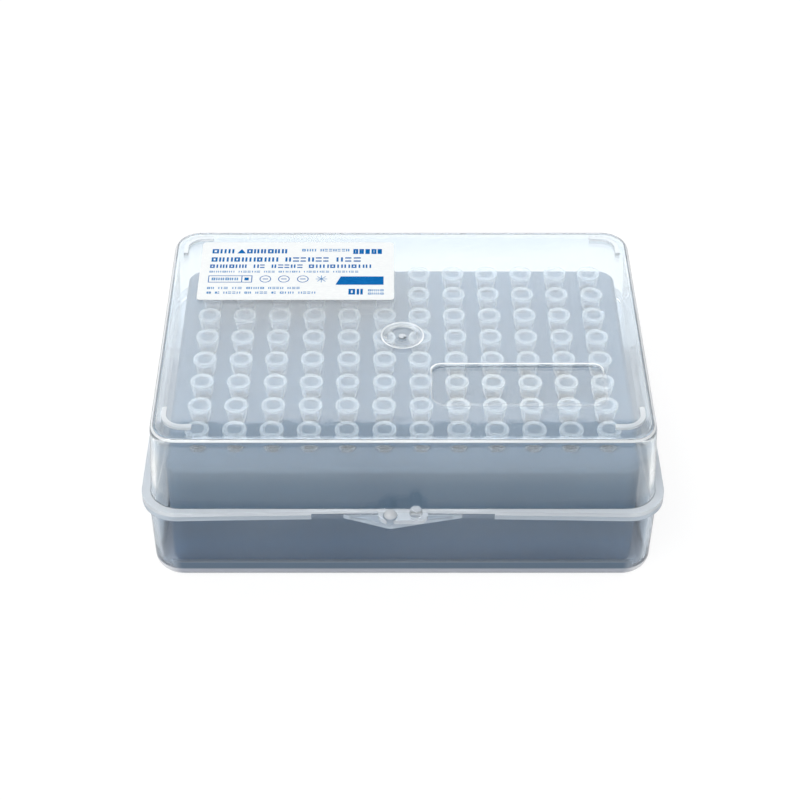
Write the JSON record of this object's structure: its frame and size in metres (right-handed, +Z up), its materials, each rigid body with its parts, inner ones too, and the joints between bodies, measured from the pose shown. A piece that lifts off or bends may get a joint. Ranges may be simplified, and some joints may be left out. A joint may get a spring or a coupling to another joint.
{
  "type": "box of pipette tips",
  "caption": "Hinged clear-lidded laboratory box holding a grid of small pipette tips in a rack insert, with a front latch and a plain label.",
  "frame": {"origin": "centre of the flat underside, below the middle of the tip grid", "axes": "+X along the twelve columns of tips, +Y from the latch to the hinge, +Z up"},
  "size_m": [0.1266, 0.0986, 0.0446],
  "materials": {
    "tray_plastic": "translucent natural polypropylene, faintly milky",
    "rack_plastic": "opaque blue-grey polypropylene",
    "lid_plastic": "clear polypropylene with a faint haze",
    "label_paper": "coated white paper",
    "tip_plastic": "natural translucent polypropylene"
  },
  "bodies": {
    "tray": {"base_tray": "tray_plastic", "tip_rack": "rack_plastic", "tips_column_01": "tip_plastic", "tips_column_02": "tip_plastic", "tips_column_03": "tip_plastic", "tips_column_04": "tip_plastic", "tips_column_05": "tip_plastic", "tips_column_06": "tip_plastic", "tips_column_07": "tip_plastic", "tips_column_08": "tip_plastic", "tips_column_09": "tip_plastic", "tips_column_10": "tip_plastic", "tips_column_11": "tip_plastic", "tips_column_12": "tip_plastic"},
    "lid": {"lid": "lid_plastic", "label": "label_paper"}
  },
  "joints": [
    {"name": "lid_hinge", "type": "hinge", "parent": "tray", "child": "lid", "pos_m": [0, 0.04786, 0.0221], "axis": [-1, 0, 0], "range_deg": [0, 110]}
  ]
}
